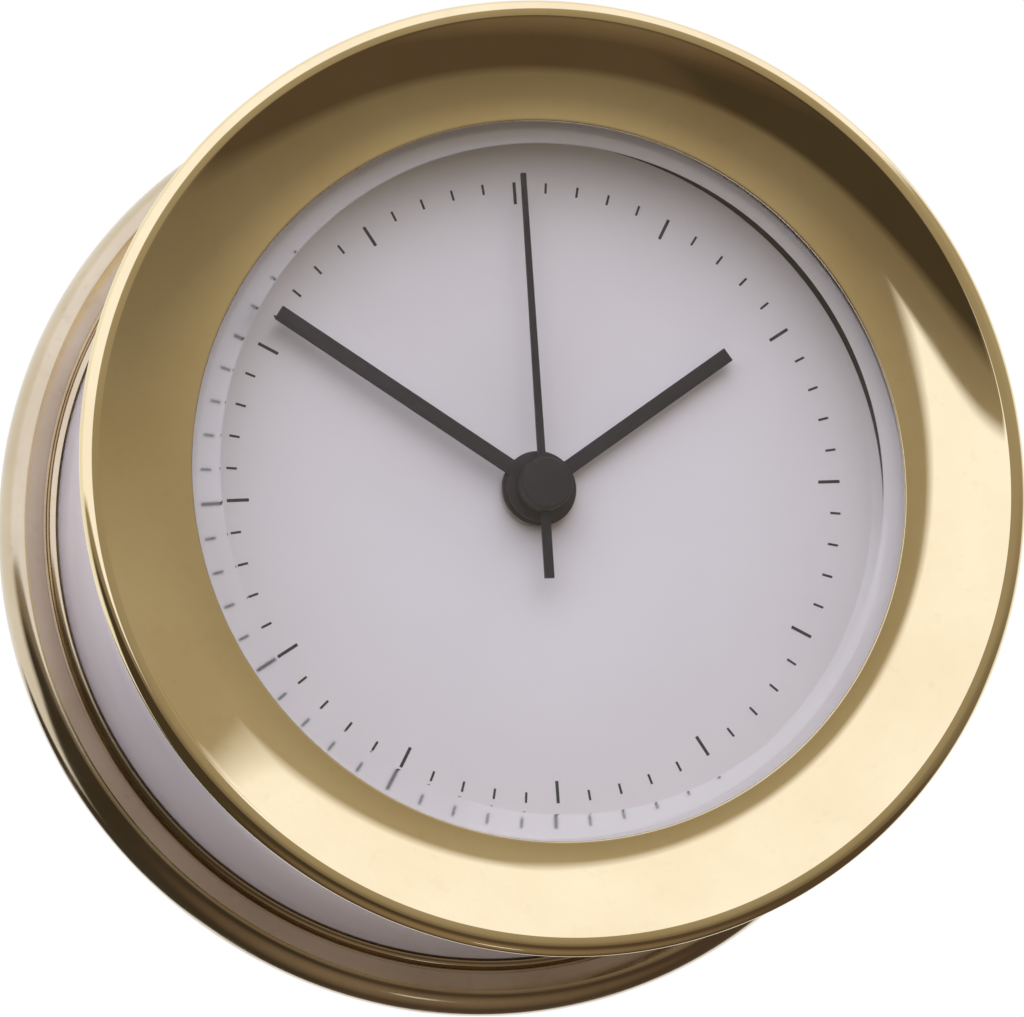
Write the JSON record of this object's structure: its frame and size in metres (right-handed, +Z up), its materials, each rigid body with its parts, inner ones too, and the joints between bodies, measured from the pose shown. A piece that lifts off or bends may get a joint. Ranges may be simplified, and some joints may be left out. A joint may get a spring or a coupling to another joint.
{
  "type": "ships clock",
  "caption": "Round ships clock with a brass bezel and base flange on a white drum, bevelled glass, plain tick dial, baton hands and a battery quartz movement.",
  "frame": {"origin": "centre of the back face, the face that goes against the wall", "axes": "+Z up to 12 o'clock, +X to 3 o'clock, +Y back into the wall, so the dial looks along -Y"},
  "size_m": [0.1128, 0.0493, 0.1128],
  "materials": {
    "bezel_brass": "polished",
    "base_brass": "satin",
    "white_paint": "satin",
    "dial_white": "matte",
    "hand_black": "matte",
    "clear_glass": "polished",
    "seal_rubber": "matte",
    "dark_steel": "satin",
    "plain_steel": "satin",
    "case_plastic": "satin",
    "train_plastic": "satin",
    "board_green": "satin",
    "coil_copper": "satin",
    "cell_grey": "satin",
    "magnet_dark": "matte"
  },
  "bodies": {
    "case": {"base_flange": "base_brass", "back_cover": "dark_steel", "cover_screw_1": "plain_steel", "cover_screw_2": "plain_steel", "cover_screw_3": "plain_steel", "case_drum": "white_paint", "dial_seat": "dark_steel", "dial": "dial_white", "bush_nut": "base_brass", "cushion_washer": "seal_rubber", "movement_front_case": "case_plastic", "movement_rear_case": "case_plastic", "train_plate": "train_plastic", "stator": "plain_steel", "coil_bobbin": "train_plastic", "coil_winding": "coil_copper", "coil_core": "plain_steel", "circuit_board": "board_green", "quartz_crystal": "plain_steel", "contact_negative": "plain_steel", "contact_positive": "plain_steel"},
    "bezel_unit": {"bezel": "bezel_brass", "glass": "clear_glass", "glass_gasket": "seal_rubber", "glass_ring": "bezel_brass"},
    "battery": {"battery_cell": "cell_grey"},
    "minute_unit": {"minute_wheel": "train_plastic", "minute_hand": "hand_black"},
    "hour_unit": {"hour_wheel": "train_plastic", "hour_hand": "hand_black"},
    "seconds_unit": {"seconds_wheel": "train_plastic", "seconds_hand": "hand_black"},
    "third_unit": {"third_wheel": "train_plastic"},
    "intermediate_unit": {"intermediate_wheel": "train_plastic"},
    "rotor_unit": {"rotor_pinion": "train_plastic", "rotor_magnet": "magnet_dark"},
    "motion_unit": {"motion_wheel": "train_plastic"},
    "setting_unit": {"setting_arbor": "train_plastic", "setting_knob": "case_plastic"}
  },
  "joints": [
    {"name": "bezel_pull", "type": "slide", "parent": "case", "child": "bezel_unit", "axis": [0, -1, 0], "range_m": [0, 0.025]},
    {"name": "battery_slide", "type": "slide", "parent": "case", "child": "battery", "axis": [0, 1, 0], "range_m": [0, 0.034]},
    {"name": "minute_spin", "type": "hinge", "parent": "case", "child": "minute_unit", "pos_m": [0, 0, 0], "axis": [0, 1, 0], "continuous": true},
    {"name": "hour_spin", "type": "hinge", "parent": "case", "child": "hour_unit", "pos_m": [0, 0, 0], "axis": [0, 1, 0], "continuous": true},
    {"name": "seconds_spin", "type": "hinge", "parent": "case", "child": "seconds_unit", "pos_m": [0, 0, 0], "axis": [0, 1, 0], "continuous": true},
    {"name": "third_spin", "type": "hinge", "parent": "case", "child": "third_unit", "pos_m": [-0.01224, 0, 0], "axis": [0, 1, 0], "continuous": true},
    {"name": "intermediate_spin", "type": "hinge", "parent": "case", "child": "intermediate_unit", "pos_m": [0.0042, 0, 0.00727], "axis": [0, 1, 0], "continuous": true},
    {"name": "rotor_spin", "type": "hinge", "parent": "case", "child": "rotor_unit", "pos_m": [0.01057, 0, 0.01095], "axis": [0, 1, 0], "continuous": true},
    {"name": "motion_spin", "type": "hinge", "parent": "case", "child": "motion_unit", "pos_m": [0.00896, 0, 0], "axis": [0, 1, 0], "continuous": true},
    {"name": "setting_spin", "type": "hinge", "parent": "case", "child": "setting_unit", "pos_m": [0, 0, -0.0136], "axis": [0, 1, 0], "continuous": true}
  ],
  "couplings": [
    {"joint": "hour_spin", "follows": "minute_spin", "ratio": 0.083333},
    {"joint": "seconds_spin", "follows": "minute_spin", "ratio": 60},
    {"joint": "third_spin", "follows": "minute_spin", "ratio": -8},
    {"joint": "intermediate_spin", "follows": "minute_spin", "ratio": -300},
    {"joint": "rotor_spin", "follows": "minute_spin", "ratio": 1800},
    {"joint": "motion_spin", "follows": "minute_spin", "ratio": -0.33333},
    {"joint": "setting_spin", "follows": "minute_spin", "ratio": -4}
  ]
}
